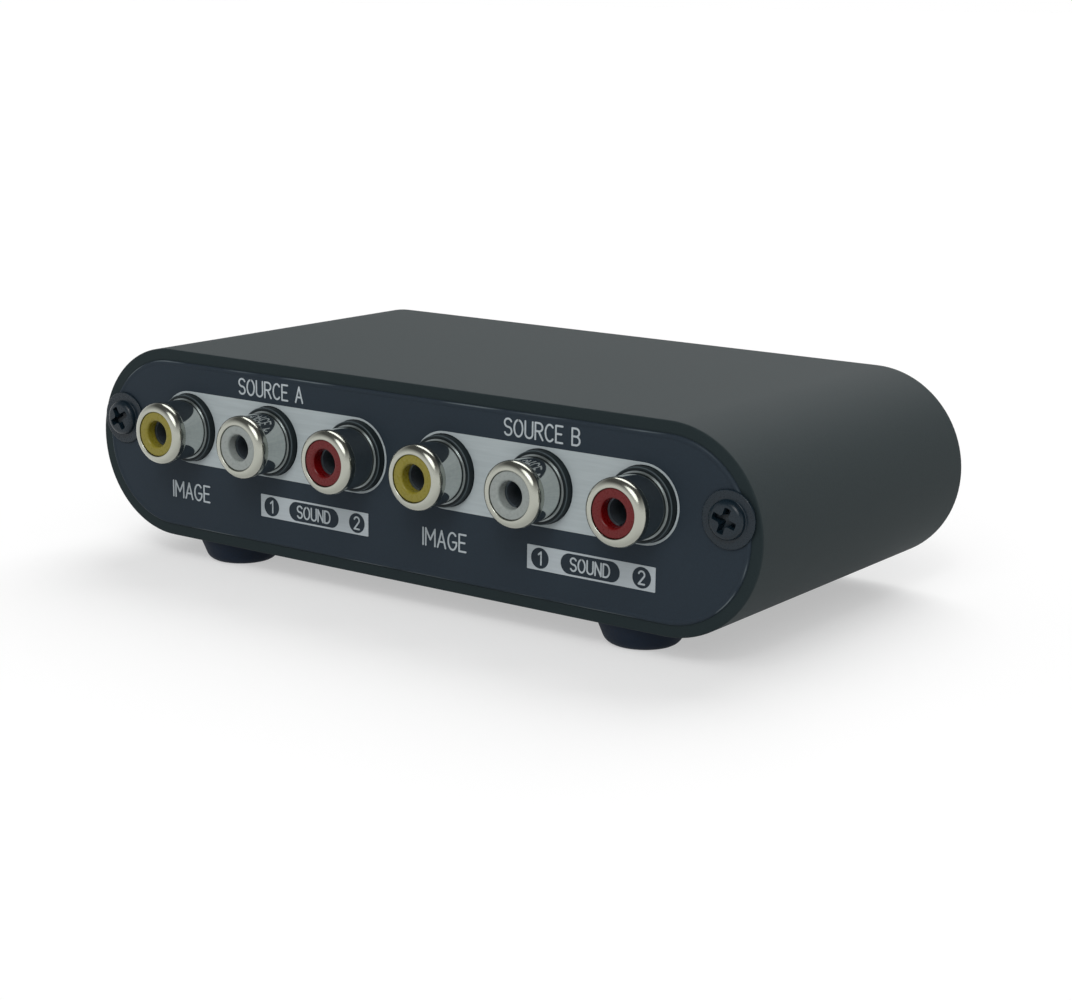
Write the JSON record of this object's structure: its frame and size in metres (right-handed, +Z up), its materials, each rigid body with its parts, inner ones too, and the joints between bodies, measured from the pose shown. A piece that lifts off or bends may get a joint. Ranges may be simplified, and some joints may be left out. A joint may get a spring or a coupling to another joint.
{
  "type": "audio video selector switch",
  "caption": "Small selector box: round-ended metal tube with screwed end panels, phono jacks in colour groups and a latching push button that joins one group to another.",
  "frame": {"origin": "on the floor under the middle of the box", "axes": "+Z up, +X along the width, the panel with two jack groups faces -Y and the button's panel +Y"},
  "size_m": [0.108, 0.0662, 0.0297],
  "materials": {
    "housing_aluminium": "matt black anodised",
    "panel_aluminium": "matt black anodised",
    "black_screw_steel": "black oxide",
    "foot_rubber": "moulded matt",
    "nickel_shell": "bright nickel plate",
    "yellow_insulator": "moulded semi-gloss",
    "white_insulator": "moulded semi-gloss",
    "red_insulator": "moulded semi-gloss",
    "jack_plastic": "moulded satin",
    "contact_brass": "tinned",
    "board_laminate": "solder mask",
    "switch_plastic": "moulded",
    "slider_plastic": "moulded",
    "spring_steel": "bright drawn",
    "button_plastic": "moulded satin"
  },
  "bodies": {
    "case": {"housing_tube": "housing_aluminium", "front_panel": "panel_aluminium", "rear_panel": "panel_aluminium", "panel_screws": "black_screw_steel", "foot_front_left": "foot_rubber", "foot_front_right": "foot_rubber", "foot_rear_left": "foot_rubber", "foot_rear_right": "foot_rubber", "circuit_board": "board_laminate", "switch_housing": "switch_plastic", "switch_bracket": "spring_steel", "switch_terminals": "contact_brass", "return_spring": "spring_steel", "latch_leaf": "spring_steel", "source_1_video_shell": "nickel_shell", "source_1_video_insulator": "yellow_insulator", "source_1_video_contact": "contact_brass", "source_1_video_body": "jack_plastic", "source_1_left_shell": "nickel_shell", "source_1_left_insulator": "white_insulator", "source_1_left_contact": "contact_brass", "source_1_left_body": "jack_plastic", "source_1_right_shell": "nickel_shell", "source_1_right_insulator": "red_insulator", "source_1_right_contact": "contact_brass", "source_1_right_body": "jack_plastic", "source_2_video_shell": "nickel_shell", "source_2_video_insulator": "yellow_insulator", "source_2_video_contact": "contact_brass", "source_2_video_body": "jack_plastic", "source_2_left_shell": "nickel_shell", "source_2_left_insulator": "white_insulator", "source_2_left_contact": "contact_brass", "source_2_left_body": "jack_plastic", "source_2_right_shell": "nickel_shell", "source_2_right_insulator": "red_insulator", "source_2_right_contact": "contact_brass", "source_2_right_body": "jack_plastic", "shared_video_shell": "nickel_shell", "shared_video_insulator": "yellow_insulator", "shared_video_contact": "contact_brass", "shared_video_body": "jack_plastic", "shared_left_shell": "nickel_shell", "shared_left_insulator": "white_insulator", "shared_left_contact": "contact_brass", "shared_left_body": "jack_plastic", "shared_right_shell": "nickel_shell", "shared_right_insulator": "red_insulator", "shared_right_contact": "contact_brass", "shared_right_body": "jack_plastic"},
    "selector": {"selector_button": "button_plastic", "selector_slider": "slider_plastic", "moving_contacts": "contact_brass"},
    "latch": {"latch_pin": "spring_steel"}
  },
  "joints": [
    {"name": "selector_press", "type": "slide", "parent": "case", "child": "selector", "axis": [0, -1, 0], "range_m": [0, 0.0025], "stiffness_N_per_m": 400, "springref_m": -0.004, "deforming": ["return_spring"]},
    {"name": "latch_swing", "type": "hinge", "parent": "case", "child": "latch", "pos_m": [0.0225, 0.008, 0.01125], "axis": [0, 0, 1], "range_deg": [0, 12]}
  ],
  "couplings": [
    {"joint": "latch_swing", "follows": "selector_press", "rad_per_m": 83.776}
  ]
}
